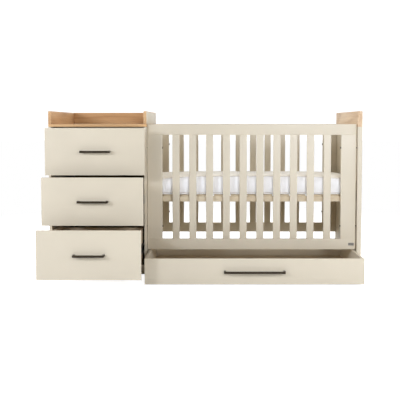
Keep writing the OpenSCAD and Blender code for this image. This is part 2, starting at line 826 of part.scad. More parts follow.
chest_side_left();
chest_side_right();
chest_bottom();
chest_top_rails();
chest_back();
chest_plinth();
chest_runners();
drawer_front(2);  // upper_drawer_front
drawer_sides(2);  // upper_drawer_sides
drawer_back(2);  // upper_drawer_back
drawer_bottom(2);  // upper_drawer_bottom
drawer_runners(2);  // upper_drawer_runners
drawer_handle(2);  // upper_drawer_handle
drawer_screws(2);  // upper_drawer_screws
drawer_front(1);  // middle_drawer_front
drawer_sides(1);  // middle_drawer_sides
drawer_back(1);  // middle_drawer_back
drawer_bottom(1);  // middle_drawer_bottom
drawer_runners(1);  // middle_drawer_runners
drawer_handle(1);  // middle_drawer_handle
drawer_screws(1);  // middle_drawer_screws
drawer_front(0);  // lower_drawer_front
drawer_sides(0);  // lower_drawer_sides
drawer_back(0);  // lower_drawer_back
drawer_bottom(0);  // lower_drawer_bottom
drawer_runners(0);  // lower_drawer_runners
drawer_handle(0);  // lower_drawer_handle
drawer_screws(0);  // lower_drawer_screws
tray_floor();
tray_side_left();
tray_side_right();
tray_back();
end_panel();
end_cap();
floor_glides();
threaded_inserts();
side_rail(front_side_y, top_rail_z, side_x[1]);  // front_top_rail
side_rail(front_side_y, low_rail_z, side_x[1]);  // front_bottom_rail
side_stiles(front_side_y, side_x[1]);  // front_stiles
side_slats(front_side_y);  // front_slats
side_rail(back_side_y, top_rail_z, back_side_end);  // back_top_rail
side_rail(back_side_y, low_rail_z, back_side_end);  // back_bottom_rail
side_stiles(back_side_y, back_side_end);  // back_stiles
side_slats(back_side_y);  // back_slats
side_bolts();
blank_plate();
base_long_rails();
base_end_rails();
base_slats();
base_bolts();
mattress();
underbed_front();
underbed_sides();
underbed_back();
underbed_bottom();
underbed_handle();
underbed_screws();
wheel_brackets();
wheel_pair(wheel_y[0]);  // front_wheels
wheel_pair(wheel_y[1]);  // back_wheels
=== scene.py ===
"""Looks for a cot with an attached chest of drawers and changing tray.

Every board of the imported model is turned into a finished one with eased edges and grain, the metal
and plastic parts get their own detail, and the mattress is sewn and filled by a cloth simulation.
"""

import json
import logging
import math
from collections.abc import Sequence
from dataclasses import dataclass
from enum import Enum

import bmesh
import bpy
from bmesh.types import BMesh, BMVert
from bpy.types import ID, Material, Mesh, NodeSocket, Object, World
from mathutils import Matrix, Vector, noise
from mathutils.bvhtree import BVHTree


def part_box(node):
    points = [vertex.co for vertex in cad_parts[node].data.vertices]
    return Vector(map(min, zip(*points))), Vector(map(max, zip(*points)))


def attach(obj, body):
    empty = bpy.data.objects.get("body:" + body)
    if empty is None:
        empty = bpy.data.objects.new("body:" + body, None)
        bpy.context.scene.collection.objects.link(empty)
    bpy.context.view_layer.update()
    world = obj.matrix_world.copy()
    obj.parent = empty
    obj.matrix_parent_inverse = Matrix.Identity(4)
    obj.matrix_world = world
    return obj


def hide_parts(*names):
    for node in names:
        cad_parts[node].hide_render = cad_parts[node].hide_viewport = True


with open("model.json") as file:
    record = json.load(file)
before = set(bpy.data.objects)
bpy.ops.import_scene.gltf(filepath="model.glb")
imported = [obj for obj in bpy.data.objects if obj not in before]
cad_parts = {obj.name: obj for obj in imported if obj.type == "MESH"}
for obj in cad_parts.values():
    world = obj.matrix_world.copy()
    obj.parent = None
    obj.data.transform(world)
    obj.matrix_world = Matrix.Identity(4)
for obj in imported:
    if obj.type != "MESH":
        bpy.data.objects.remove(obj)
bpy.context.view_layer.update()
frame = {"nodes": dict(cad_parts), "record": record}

LOG = logging.getLogger("cot")
RGB = XYZ = tuple[float, float, float]
WHITE = (1.0, 1.0, 1.0)
MM = 0.001
MERGE = 0.01 * MM  # points nearer than this are one point
FLAT = math.radians(0.6)  # facets that turn less than this are one flat face
CURVED = 0.01  # facets that turn more than this many radians belong to a curve
SHARP = math.radians(30)  # edges that turn more than this are eased
SKIN = 0.5 * MM  # a facet this near a board's face belongs to that face


def srgb(red: int, green: int, blue: int) -> RGB:
    """Converts a screen colour to the linear one that shaders use.

    Args:
        red: Red, 0 to 255.
        green: Green, 0 to 255.
        blue: Blue, 0 to 255.

    Returns:
        The linear colour.
    """
    return tuple(
        c / 12.92 if (c := v / 255) <= 0.04045 else ((c + 0.055) / 1.055) ** 2.4
        for v in (red, green, blue)
    )


def dimmed(tint: RGB, share: float) -> RGB:
    """Returns a colour at a share of its strength."""
    return tuple(c * share for c in tint)


class Grain(Enum):
    """The axis that a board's grain runs along."""

    ALONG_X = (1.0, 0.0, 0.0)
    ALONG_Y = (0.0, 1.0, 0.0)

    def stretch(self, along: float, across: float) -> XYZ:
        """Returns a pattern's repeats per metre on each axis."""
        return tuple(along if a else across for a in self.value)


# ---- shader arithmetic ----


class Wire:
    """A socket whose arithmetic adds Math nodes."""

    def __init__(self, graph: "Graph", socket: NodeSocket) -> None:
        """Wraps a socket of a graph's node."""
        self.graph = graph
        self.socket = socket

    def math(self, operation: str, *values: "Value") -> "Wire":
        """Adds a Math node.

        Args:
            operation: The Math node's operation.
            values: Its inputs, in order.

        Returns:
            The node's result.
        """
        return self.graph.node("ShaderNodeMath", {"operation": operation}, dict(enumerate(values)))

    def __add__(self, other: "Value") -> "Wire":
        """Adds."""
        return self.math("ADD", self, other)

    def __radd__(self, other: "Value") -> "Wire":
        """Adds, reflected."""
        return self.math("ADD", other, self)

    def __sub__(self, other: "Value") -> "Wire":
        """Subtracts."""
        return self.math("SUBTRACT", self, other)

    def __rsub__(self, other: "Value") -> "Wire":
        """Subtracts, reflected."""
        return self.math("SUBTRACT", other, self)

    def __mul__(self, other: "Value") -> "Wire":
        """Multiplies."""
        return self.math("MULTIPLY", self, other)

    def __rmul__(self, other: "Value") -> "Wire":
        """Multiplies, reflected."""
        return self.math("MULTIPLY", other, self)

    def __pow__(self, other: "Value") -> "Wire":
        """Raises to a power."""
        return self.math("POWER", self, other)

    def sine(self) -> "Wire":
        """Returns the sine."""
        return self.math("SINE", self)

    def between(self, low: float, high: float) -> "Wire":
        """Maps low to 0 and high to 1, smoothly, and holds it there."""
        values = {"Value": self, "From Min": low, "From Max": high}
        return self.graph.node("ShaderNodeMapRange", {"interpolation_type": "SMOOTHSTEP"}, values)


Value = Wire | float | int | Sequence[float]


class Graph:
    """A node tree of a material or a world, built from values and one node-making method."""

    def __init__(self, name: str, owner: ID | None = None) -> None:
        """Starts an empty tree.

        Args:
            name: The new material's name.
            owner: A world to build in, instead of a new material.
        """
        self.material = owner or bpy.data.materials.new(name)
        self.material.use_nodes = True
        self.tree = self.material.node_tree
        self.tree.nodes.clear()
        self.place = self.node("ShaderNodeTexCoord", {}, {}, "Object")

    def node(self, kind: str, settings: dict, values: dict, output: int | str = 0) -> Wire:
        """Adds a node.

        Args:
            kind: The node's type.
            settings: Its own properties, set before its sockets.
            values: Numbers, colours or wires for its inputs, by name or place.
            output: The output that is wanted.

        Returns:
            That output.
        """
        made = self.tree.nodes.new(kind)
        for key, value in settings.items():
            setattr(made, key, value)
        for key, value in values.items():
            target = made.inputs[key]
            if isinstance(value, Wire):
                self.tree.links.new(value.socket, target)
            elif target.type == "RGBA" and len(value) == 3:
                target.default_value = (*value, 1.0)
            else:
                target.default_value = value
        return Wire(self, made.outputs[output])

    def noise(
        self,
        axes: XYZ = (1.0, 1.0, 1.0),
        shift: XYZ = (0.0, 0.0, 0.0),
        scale: float = 1.0,
        detail: float = 2.0,
        roughness: float = 0.5,
    ) -> Wire:
        """Returns a noise pattern on the piece.

        Args:
            axes: How much denser it is along each axis.
            shift: How far it is shifted along each axis.
            scale: Its scale.
            detail: How many octaves it has.
            roughness: How strong the finer octaves are.

        Returns:
            Values around one half.
        """
        values = {0: self.place, 1: axes, 2: shift}
        at = self.node("ShaderNodeVectorMath", {"operation": "MULTIPLY_ADD"}, values)
        values = {"Vector": at, "Scale": scale, "Detail": detail, "Roughness": roughness}
        return self.node("ShaderNodeTexNoise", {}, values)

    def mix(self, share: Value, low: RGB | Wire, high: RGB | Wire) -> Wire:
        """Returns a colour between two, by share."""
        return self.node("ShaderNodeMix", {"data_type": "RGBA"}, {0: share, 6: low, 7: high}, 2)

    def bump(self, height: Value, strength: float, distance: float) -> Wire:
        """Returns a normal from a height pattern, with its depth in metres."""
        values = {"Height": height, "Strength": strength, "Distance": distance}
        return self.node("ShaderNodeBump", {}, values)

    def finish(self, shader: Wire) -> None:
        """Ends the tree with a shader.

        Args:
            shader: The surface's or the world's shader.
        """
        world = isinstance(self.material, World)
        end = self.tree.nodes.new(f"ShaderNodeOutput{'World' if world else 'Material'}")
        self.tree.links.new(shader.socket, end.inputs["Surface"])

    def principled(self, values: dict) -> None:
        """Ends the tree with one Principled shader that has these inputs."""
        self.finish(self.node("ShaderNodeBsdfPrincipled", {}, values))


# ---- finishes ----


@dataclass(frozen=True)
class Finish:
    """A surface finish.

    Attributes:
        name: The material's name.
        slot: The record's material slot; not used.
    """

    name: str
    slot: str

    def shade(self, graph: Graph) -> None:
        """Builds the finish's nodes in a graph."""
        raise NotImplementedError

    def material(self) -> Material:
        """Makes the finish's material, once.

        Returns:
            The material.
        """
        made = bpy.data.materials.get(self.name)
        if made is None:
            graph = Graph(self.name)
            self.shade(graph)
            made = graph.material
        return made


@dataclass(frozen=True)
class Lacquer(Finish):
    """Sprayed satin lacquer on a smooth board, with a faint skin and slow drift of tone."""

    tint: RGB = srgb(218, 205, 179)
    shade_share: float = 0.955
    roughness: float = 0.38

    def shade(self, graph: Graph) -> None:
        """Builds the lacquer.

        Args:
            graph: The material's graph.
        """
        cloud = graph.noise(scale=3.1, detail=3)
        skin = graph.noise(scale=420, roughness=0.6)
        dust = graph.noise(scale=60, detail=4, roughness=0.65)
        low = dimmed(self.tint, self.shade_share)
        tone = graph.mix(cloud.between(0.3, 0.7), low, self.tint)
        graph.principled({
            "Base Color": tone,
            "Roughness": self.roughness - 0.04 + 0.1 * dust,
            "Specular IOR Level": 0.42,
            "Normal": graph.bump(skin, strength=0.35, distance=0.05 * MM),
        })


@dataclass(frozen=True)
class FacedBoard(Finish):
    """Plain faced chipboard or thin hardboard with a fine embossed face."""

    tint: RGB = srgb(208, 187, 157)
    roughness: float = 0.55
    worn_share: float = 0.93

    def shade(self, graph: Graph) -> None:
        """Builds the faced board.

        Args:
            graph: The material's graph.
        """
        cloud = graph.noise(scale=5)
        emboss = graph.noise((1, 0.6, 1), scale=900, roughness=0.6)
        fleck = graph.noise(scale=260, detail=3, roughness=0.7)
        share = cloud.between(0.35, 0.65) * 0.6 + fleck.between(0.5, 0.8) * 0.4
        tone = graph.mix(share, dimmed(self.tint, self.worn_share), self.tint)
        graph.principled({
            "Base Color": tone,
            "Roughness": self.roughness + 0.08 * fleck,
            "Normal": graph.bump(emboss, strength=0.4, distance=0.06 * MM),
        })


@dataclass(frozen=True)
class Timber(Finish):
    """Wood with growth rings, rays and pores along its grain.

    Attributes:
        grain: The axis that the grain runs along.
        early: The pale wood between the rings.
        late: The dark wood of the rings.
        pore: The colour inside the pores.
        rings: How many rings a metre of board shows, roughly.
        figure: How strongly the rings show, 0 to 1.
        pores: How strongly the pores show, 0 to 1.
        roughness: The finish's roughness.
        shift: How far the ring pattern is shifted along each axis.
    """

    grain: Grain = Grain.ALONG_X
    early: RGB = srgb(226, 186, 136)
    late: RGB = srgb(181, 131, 83)
    pore: RGB = srgb(122, 82, 47)
    rings: float = 9.0
    figure: float = 0.8
    pores: float = 0.6
    roughness: float = 0.42
    shift: XYZ = (3.1, 5.7, 1.3)

    def shade(self, graph: Graph) -> None:
        """Builds the wood.

        Args:
            graph: The material's graph.
        """
        at = self.grain.stretch
        flow = graph.noise(at(0.55, 4.2), self.shift, detail=3, roughness=0.45)
        drift = graph.noise(at(1.3, 9.0))
        ring = (flow * self.rings * 2 * math.pi).sine() * 0.5 + 0.5
        fibre = graph.noise(at(14, 620), detail=3, roughness=0.7)
        streak = graph.noise(at(3.5, 150), detail=3, roughness=0.6)
        pit = graph.noise(at(34, 900), roughness=0.6).between(0.6, 0.72)
        share = ring**2.2 * 0.45 * self.figure + streak.between(0.3, 0.75) * 0.4 * self.figure
        share = share + (fibre - 0.5) * 0.35 * self.figure + drift.between(0.35, 0.7) * 0.15
        wood = graph.mix(share, self.early, self.late)
        tone = graph.mix(pit * (0.35 + ring * 0.65) * self.pores, wood, self.pore)
        relief = fibre * 0.6 - pit * self.pores
        graph.principled({
            "Base Color": tone,
            "Roughness": self.roughness + 0.1 * fibre + 0.1 * pit,
            "Specular IOR Level": 0.4,
            "Normal": graph.bump(relief, strength=0.45, distance=0.12 * MM),
        })


@dataclass(frozen=True)
class DarkBronze(Finish):
    """Dark, slightly brushed metal."""

    tint: RGB = srgb(74, 64, 50)
    dark_share: float = 0.75

    def shade(self, graph: Graph) -> None:
        """Builds the metal.

        Args:
            graph: The material's graph.
        """
        brushed = graph.noise((8, 500, 500), detail=3, roughness=0.6)
        cloud = graph.noise(scale=25)
        dark = dimmed(self.tint, self.dark_share)
        tone = graph.mix(cloud.between(0.3, 0.7), dark, self.tint)
        graph.principled({
            "Base Color": tone,
            "Metallic": 0.85,
            "Roughness": 0.33 + 0.14 * brushed,
            "Normal": graph.bump(brushed, strength=0.2, distance=0.03 * MM),
        })


@dataclass(frozen=True)
class Zinc(Finish):
    """Zinc plated steel with a faint spangle."""

    tint: RGB = srgb(200, 203, 208)
    dark_share: float = 0.85

    def shade(self, graph: Graph) -> None:
        """Builds the plating.

        Args:
            graph: The material's graph.
        """
        values = {"Vector": graph.place, "Scale": 160}
        cell = graph.node("ShaderNodeTexVoronoi", {}, values, "Color")
        spangle = graph.node("ShaderNodeRGBToBW", {}, {0: cell})
        scuff = graph.noise((300, 12, 300))
        tone = graph.mix(spangle, dimmed(self.tint, self.dark_share), self.tint)
        roughness = 0.3 + 0.12 * spangle + 0.1 * scuff
        graph.principled({"Base Color": tone, "Metallic": 1.0, "Roughness": roughness})


@dataclass(frozen=True)
class Moulded(Finish):
    """Moulded plastic with a fine spark-eroded grain."""

    tint: RGB = srgb(64, 64, 66)
    dark_share: float = 0.8

    def shade(self, graph: Graph) -> None:
        """Builds the plastic.

        Args:
            graph: The material's graph.
        """
        texture = graph.noise(scale=1500, roughness=0.6)
        cloud = graph.noise(scale=40)
        tone = graph.mix(cloud, dimmed(self.tint, self.dark_share), self.tint)
        graph.principled({
            "Base Color": tone,
            "Roughness": 0.5 + 0.1 * texture,
            "Normal": graph.bump(texture, strength=0.3, distance=0.05 * MM),
        })


@dataclass(frozen=True)
class KnitCover(Finish):
    """White knitted mattress cover with fine ribs, a soft nap, and painted shade between its loops
    and in its folds.

    Attributes:
        tint: Its colour.
        painted_shade_share: How bright the painted shade between the loops and in the folds is, over
            its colour.
        wales: Columns of loops, in radians a metre.
        courses: Rows of loops, in radians a metre.
        sway: How far the columns and rows wander, in metres.
    """

    tint: RGB = srgb(255, 253, 250)
    painted_shade_share: float = 0.98
    wales: float = 2600
    courses: float = 3600
    sway: float = 4 * MM

    def shade(self, graph: Graph) -> None:
        """Builds the cover.

        Args:
            graph: The material's graph.
        """
        wander = graph.noise(scale=30) * self.sway
        at = {0: graph.place}
        parts = [graph.node("ShaderNodeSeparateXYZ", {}, at, axis) for axis in "XYZ"]
        wale = ((parts[0] + wander) * self.wales).sine()
        course = ((parts[1] + parts[2] + wander) * self.courses).sine()
        loop = wale * course * 0.5 + 0.5
        nap = graph.noise(scale=1200, detail=3, roughness=0.7)
        # The loop pattern and the crease noise darken the colour: painted shade between the loops
        # and in random folds.
        crease = graph.noise((1, 1, 2), scale=9, detail=3)
        painted_shade_tint = dimmed(self.tint, self.painted_shade_share)
        tone = graph.mix(loop * 0.45 + crease.between(0.3, 0.7) * 0.55, painted_shade_tint, self.tint)
        graph.principled({
            "Base Color": tone,
            "Roughness": 0.86 + 0.1 * nap,
            "Sheen Weight": 0.25,
            "Sheen Roughness": 0.5,
            "Normal": graph.bump(loop * 0.6 + nap * 0.4, strength=0.5, distance=0.25 * MM),
        })


CREAM = Lacquer("satin_cream", "cream_lacquer")
LINING = FacedBoard("faced_board", "white_board")
HARDBOARD = FacedBoard("raw_hardboard", "white_board", srgb(137, 104, 68), roughness=0.7)
# A darker, warmer copy of the oak for the tray's floor and back: painted shade, where the tray lies
# in shade.
SHADED_OAK_COLOURS = {"early": srgb(225, 182, 128), "late": srgb(180, 128, 78), "pore": srgb(121, 80, 44)}
SHADED_OAK_X = Timber("shaded_oak_along_length", "oak_veneer", Grain.ALONG_X, **SHADED_OAK_COLOURS)
OAK_Y = Timber("oak_along_depth", "oak_veneer", Grain.ALONG_Y)
# A paler, pinker copy of the oak for the end cap: painted light, where strong light falls on the
# cap.
LIT_OAK_COLOURS = {"early": srgb(238, 209, 171), "late": srgb(190, 148, 104), "pore": srgb(129, 93, 61)}
LIT_CAP_OAK = Timber("lit_oak_along_depth", "oak_veneer", Grain.ALONG_Y, **LIT_OAK_COLOURS)
PLAIN_BIRCH = {
    "early": srgb(226, 210, 179),
    "late": srgb(203, 178, 141),
    "pore": srgb(173, 142, 107),
    "rings": 5,
    "figure": 0.6,
    "pores": 0.3,
    "roughness": 0.5,
}
BIRCH_X = Timber("birch_along_length", "birch", Grain.ALONG_X, **PLAIN_BIRCH)
BIRCH_Y = Timber("birch_along_depth", "birch", Grain.ALONG_Y, **PLAIN_BIRCH)
BRONZE = DarkBronze("dark_bronze", "bronze")
PLATE = DarkBronze("plate_metal", "bronze", srgb(150, 144, 134))
ZINC = Zinc("zinc_plate", "zinc")
# A dark grey tint of the zinc plating, used on the drawer runners.
DARK_ZINC = Zinc("dark_zinc_plate", "zinc", srgb(92, 90, 86))
GLIDE = Moulded("glide_moulding", "glide_plastic", srgb(48, 48, 50))
WHEEL = Moulded("wheel_moulding", "wheel_plastic", srgb(78, 79, 82))
COVER = KnitCover("mattress_cover", "mattress_cloth")
# The faces that look up get a warmer, darker tint than the cover's walls.
WARMER_TOP = KnitCover("mattress_top_tint", "mattress_cloth", srgb(254, 247, 233))
# The piping's grey-white tint is painted shade, standing for the dark line along the seam.
SHADED_PIPING = KnitCover("mattress_piping", "mattress_cloth", srgb(226, 220, 212))


# ---- making pieces ----

# how wide small parts' edges are eased, and in how many facets
THIN_BOARD = (0.4 * MM, 2)
BOX_BOARD = (0.8 * MM, 3)
ROLLED_STEEL = (0.3 * MM, 1)
BENT_STEEL = (0.4 * MM, 2)
SMALL_PLATE = (0.4 * MM, 3)
HANDLE_BAR = (1.4 * MM, 4)
MOULDING = (0.5 * MM, 2)


def mesh_data(name: str, mesh: BMesh) -> Mesh:
    """Turns a bmesh into mesh data.

    Args:
        name: The data's name.
        mesh: The bmesh, which is freed.

    Returns:
        The mesh data.
    """
    data = bpy.data.meshes.new(name)
    mesh.to_mesh(data)
    mesh.free()
    return data


def placed(name: str, data: ID) -> Object:
    """Puts an object into the scene.

    Args:
        name: Its name.
        data: Its mesh, curve, light or camera.

    Returns:
        The object.
    """
    made = bpy.data.objects.new(name, data)
    bpy.context.scene.collection.objects.link(made)
    return made


def applied(piece: Object) -> Mesh:
    """Returns an object's mesh with its modifiers applied."""
    graph = bpy.context.evaluated_depsgraph_get()
    return bpy.data.meshes.new_from_object(piece.evaluated_get(graph))


class Bench:
    """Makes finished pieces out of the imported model's nodes and out of new meshes."""

    body_of: dict[str, str] = {
        node: body
        for body, nodes in frame["record"]["behaviour"]["bodies"].items()
        for node in nodes
    }

    @classmethod
    def add(cls, name: str, mesh: BMesh, finish: Finish, body: str, node: str = "") -> Object:
        """Makes an object of a finished mesh.

        Args:
            name: The piece's name.
            mesh: Its mesh, which is freed.
            finish: What it is finished in.
            body: The body that it moves with.
            node: The node that it stands for, if any.

        Returns:
            The piece.
        """
        data = mesh_data(name, mesh)
        piece = placed(name, data)
        data.materials.append(finish.material())
        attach(piece, body)
        if node:
            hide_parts(node)
        LOG.info("%s: %d faces on %s", name, len(data.polygons), body)
        return piece

    @classmethod
    def copy_of(cls, node: str) -> BMesh:
        """Returns a merged copy of a node's mesh, with its flat faces whole.

        Args:
            node: The node's name.

        Returns:
            The copy.
        """
        mesh = bmesh.new()
        mesh.from_mesh(frame["nodes"][node].data)
        bmesh.ops.remove_doubles(mesh, verts=mesh.verts, dist=MERGE)
        bmesh.ops.dissolve_limit(mesh, angle_limit=FLAT, verts=mesh.verts, edges=mesh.edges)
        return mesh

    @classmethod
    def eased(cls, node: str, finish: Finish, ease: float, segments: int = 3) -> Object:
        """Makes a node's board or bar with its sharp edges rounded over.

        Args:
            node: The node that it stands for.
            finish: What it is finished in.
            ease: The rounding's width.
            segments: How many facets a rounded edge has.

        Returns:
            The piece.
        """
        mesh = cls.copy_of(node)
        sharp = [e for e in mesh.edges if e.is_manifold and e.calc_face_angle() > SHARP]
        for face in mesh.faces:
            face.smooth = any(
                e.is_manifold and CURVED < e.calc_face_angle() < SHARP for e in face.edges
            )
        rounded = bmesh.ops.bevel(
            mesh,
            geom=sharp,
            offset=ease,
            segments=segments,
            profile=0.5,
            affect="EDGES",
            clamp_overlap=True,
            material=-1,
        )
        for face in rounded["faces"]:
            face.smooth = True
        return cls.add(f"{node}_made", mesh, finish, cls.body_of[node], node)

    @classmethod
    def coat(cls, board: Object, finish: Finish, axis: int, level: float) -> None:
        """Gives one flat face of a board a finish of its own.

        Args:
            board: The board.
            finish: The face's finish.
            axis: The axis that the face looks along.
            level: Where it lies on that axis.
        """
        board.data.materials.append(finish.material())
        for face in board.data.polygons:
            if abs(face.center[axis] - level) < SKIN:
                face.material_index = 1

    @classmethod
    def dress(cls, node: str, finish: Finish) -> None:
        """Gives a node that shows as it is a finish.

        Args:
            node: The node's name.
            finish: Its finish.
        """
        data = frame["nodes"][node].data
        data.materials.clear()
        data.materials.append(finish.material())
        LOG.info("%s: kept, in %s", node, finish.name)


@dataclass
class Bolts:
    """Round-headed bolts with a hexagon socket, driven along X.

    Attributes:
        node: The node that they stand for.
        head_radius: The head's radius at its seat.
        head_height: The head's height.
        crown: The radius at its top, over that at its seat.
        rim: The ring round the socket, over the head's radius.
        socket_radius: The socket's radius to its corners.
        socket_depth: Its depth, over the head's height.
        stub: How far the shank reaches into the head.
        shank: The widest that a shank is, over the head's radius.
        slack: How near two places along a bolt are one place.
        facets: How many sides a head has.
    """

    node: str
    head_radius: float = 6 * MM
    head_height: float = 4 * MM
    crown: float = 0.9
    rim: float = 0.35
    socket_radius: float = 2.9 * MM
    socket_depth: float = 0.65
    stub: float = 0.6 * MM
    shank: float = 0.6
    slack: float = 0.1 * MM
    facets: int = 36

    def head(self, mesh: BMesh, centre: Vector, outward: float) -> None:
        """Adds one bolt's head.

        Args:
            mesh: The mesh that it is added to.
            centre: The middle of the head's seat.
            outward: 1 where it looks towards +X, and -1 towards -X.
        """
        turn = Matrix.Rotation(math.radians(90 * outward), 4, "Y")
        place = Matrix.Translation(centre + Vector((outward * self.head_height / 2, 0, 0)))
        made = bmesh.ops.create_cone(
            mesh,
            cap_ends=True,
            segments=self.facets,
            radius1=self.head_radius,
            radius2=self.head_radius * self.crown,
            depth=self.head_height,
            matrix=place @ turn,
        )
        faces = {f for v in made["verts"] for f in v.link_faces}
        top = max(faces, key=lambda f: outward * f.calc_center_median().x)
        middle = top.calc_center_median()
        rim = self.head_radius * self.rim
        bmesh.ops.inset_region(mesh, faces=[top], thickness=rim, use_even_offset=True)
        for vert in top.verts:
            arm = vert.co - middle
            angle = math.atan2(arm.z, arm.y)
            edge = math.cos(math.pi / 6) / math.cos((angle % (math.pi / 3)) - math.pi / 6)
            vert.co = middle + arm.normalized() * self.socket_radius * edge
        inner = bmesh.ops.extrude_discrete_faces(mesh, faces=[top])["faces"]
        sunk = Vector((-outward * self.head_height * self.socket_depth, 0, 0))
        bmesh.ops.translate(mesh, vec=sunk, verts=inner[0].verts[:])

    def build(self) -> None:
        """Makes the bolts: the node's own shanks, with new heads on them."""
        mesh = Bench.copy_of(self.node)
        widest = self.head_radius * self.shank
        for verts in bolts_of(mesh):
            y, z = mid(verts, 1), mid(verts, 2)
            wide = [v.co.x for v in verts if max(abs(v.co.y - y), abs(v.co.z - z)) > widest]
            outward = 1.0 if max(wide) >= max(v.co.x for v in verts) - self.slack else -1.0
            seat = min(wide) if outward > 0 else max(wide)
            centre = Vector((seat, y, z))
            for vert in verts:
                if outward * (vert.co.x - seat) > self.slack:
                    vert.co.x = seat + outward * self.stub
                    arm = Vector((0, vert.co.y - y, vert.co.z - z))
                    if arm.length > widest:
                        arm *= self.shank
                    vert.co.y, vert.co.z = y + arm.y, z + arm.z
            self.head(mesh, centre, outward)
        for face in mesh.faces:
            face.smooth = len(face.verts) == 4
        Bench.add(f"{self.node}_made", mesh, BRONZE, Bench.body_of[self.node], self.node)


def mid(verts: Sequence[BMVert], axis: int) -> float:
    """Returns the middle of some vertices' span along an axis."""
    values = [v.co[axis] for v in verts]
    return (min(values) + max(values)) / 2


def normals_of(data: Mesh) -> list[Vector]:
    """Returns a mesh's vertex normals, read before its points move."""
    return [Vector(v.normal) for v in data.vertices]


def bolts_of(mesh: BMesh) -> list[list[BMVert]]:
    """Returns the vertices of a mesh bolt by bolt.

    Args:
        mesh: The bolts' mesh.

    Returns:
        One list of connected vertices for each bolt.
    """
    left, bolts = dict.fromkeys(mesh.verts), []
    while left:
        bolt = [left.popitem()[0]]
        for vert in bolt:
            for near in (edge.other_vert(vert) for edge in vert.link_edges):
                if near in left:
                    del left[near]
                    bolt.append(near)
        bolts.append(bolt)
    return bolts


@dataclass
class WheelPair:
    """Two moulded wheels with a rounded tread, a web and a hub.

    Attributes:
        node: The node that they stand for.
        radius: The tread's radius.
        width: The wheel's width.
        bore: The bore's radius.
        hub: The section at the hub, in millimetres in from the wheel's side and out from the bore.
        rim: The section at the rim, in millimetres in from the side and in from the tread.
        steps: How many facets go round.
        crease: The angle past which an edge looks sharp, in degrees.
    """

    node: str
    radius: float = 17 * MM
    width: float = 14 * MM
    bore: float = 3.06 * MM
    hub: tuple[tuple[float, float], ...] = ((0, 0), (0, 3.2), (2.4, 4))
    rim: tuple[tuple[float, float], ...] = ((2.6, 5.4), (0.6, 4.6), (0, 2.4), (1.1, 0.7), (3, 0))
    steps: int = 48
    crease: float = 38

    def build(self) -> None:
        """Makes both wheels by turning their section round the axle."""
        low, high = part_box(self.node)
        centre = (low + high) / 2
        half = self.width / 2
        section = [(-half + u * MM, self.bore + v * MM) for u, v in self.hub]
        section += [(-half + u * MM, self.radius - v * MM) for u, v in self.rim]
        section += [(-u, v) for u, v in reversed(section)]
        mesh = bmesh.new()
        for x in (low.x + half, high.x - half):
            ring = [mesh.verts.new((x + u, centre.y, centre.z + v)) for u, v in section]
            edges = [mesh.edges.new(pair) for pair in zip(ring, ring[1:] + ring[:1])]
            bmesh.ops.spin(
                mesh,
                geom=ring + edges,
                cent=(x, centre.y, centre.z),
                axis=(1, 0, 0),
                angle=2 * math.pi,
                steps=self.steps,
                use_merge=True,
            )
        bmesh.ops.remove_doubles(mesh, verts=mesh.verts, dist=MERGE)
        bmesh.ops.recalc_face_normals(mesh, faces=mesh.faces)
        for face in mesh.faces:
            face.smooth = True
        piece = Bench.add(f"{self.node}_made", mesh, WHEEL, Bench.body_of[self.node], self.node)
        piece.data.set_sharp_from_angle(angle=math.radians(self.crease))


# ---- sub-assemblies ----


@dataclass
class Chest:
    """The chest's carcass with its runners."""

    ease: float = 1.0 * MM

    def build(self) -> None:
        """Makes the carcass."""
        for node in ("side_left", "side_right", "bottom", "top_rails", "plinth"):
            Bench.eased(f"chest_{node}", CREAM, self.ease)
        back = Bench.eased("chest_back", LINING, *THIN_BOARD)
        Bench.coat(back, HARDBOARD, 1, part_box("chest_back")[0].y)
        Bench.eased("chest_runners", DARK_ZINC, *ROLLED_STEEL)
        Bench.dress("threaded_inserts", ZINC)


@dataclass
class ChangingTray:
    """The oak tray on the chest, whose right side is cream outside."""

    ease: float = 1.0 * MM

    def build(self) -> None:
        """Makes the tray."""
        # The tray's floor and back take the darker copy of the oak, as painted shade.
        Bench.eased("tray_floor", SHADED_OAK_X, self.ease)
        Bench.eased("tray_back", SHADED_OAK_X, self.ease)
        Bench.eased("tray_side_left", OAK_Y, self.ease)
        right = Bench.eased("tray_side_right", OAK_Y, self.ease)
        Bench.coat(right, CREAM, 0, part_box("tray_side_right")[1].x)


@dataclass
class ChestDrawer:
    """One of the chest's drawers."""

    place: str
    ease: float = 1.3 * MM

    def build(self) -> None:
        """Makes the front, the box, the runners and the handle."""
        Bench.eased(f"{self.place}_drawer_front", CREAM, self.ease)
        for part in ("sides", "back"):
            Bench.eased(f"{self.place}_drawer_{part}", LINING, *BOX_BOARD)
        Bench.eased(f"{self.place}_drawer_bottom", LINING, *THIN_BOARD)
        Bench.eased(f"{self.place}_drawer_runners", DARK_ZINC, *ROLLED_STEEL)
        Bench.eased(f"{self.place}_drawer_handle", BRONZE, *HANDLE_BAR)
        Bench.dress(f"{self.place}_drawer_screws", ZINC)


@dataclass
class UnderbedDrawer:
    """The wide drawer that rolls on the floor under the cot."""

    ease: float = 1.3 * MM

    def build(self) -> None:
        """Makes the drawer, its handle and its wheels."""
        for part in ("front", "sides", "back"):
            Bench.eased(f"underbed_{part}", CREAM, self.ease)
        Bench.eased("underbed_bottom", LINING, *THIN_BOARD)
        Bench.eased("underbed_handle", BRONZE, *HANDLE_BAR)
        Bench.dress("underbed_screws", ZINC)
        Bench.eased("wheel_brackets", ZINC, *BENT_STEEL)
        for pair in ("front_wheels", "back_wheels"):
            WheelPair(pair).build()


@dataclass
class SlattedSide:
    """A long side of the cot: two rails, two stiles and a row of slats."""

    place: str
    ease: float = 1.1 * MM

    def build(self) -> None:
        """Makes the side."""
        for part in ("top_rail", "bottom_rail", "stiles", "slats"):
            Bench.eased(f"{self.place}_{part}", CREAM, self.ease)


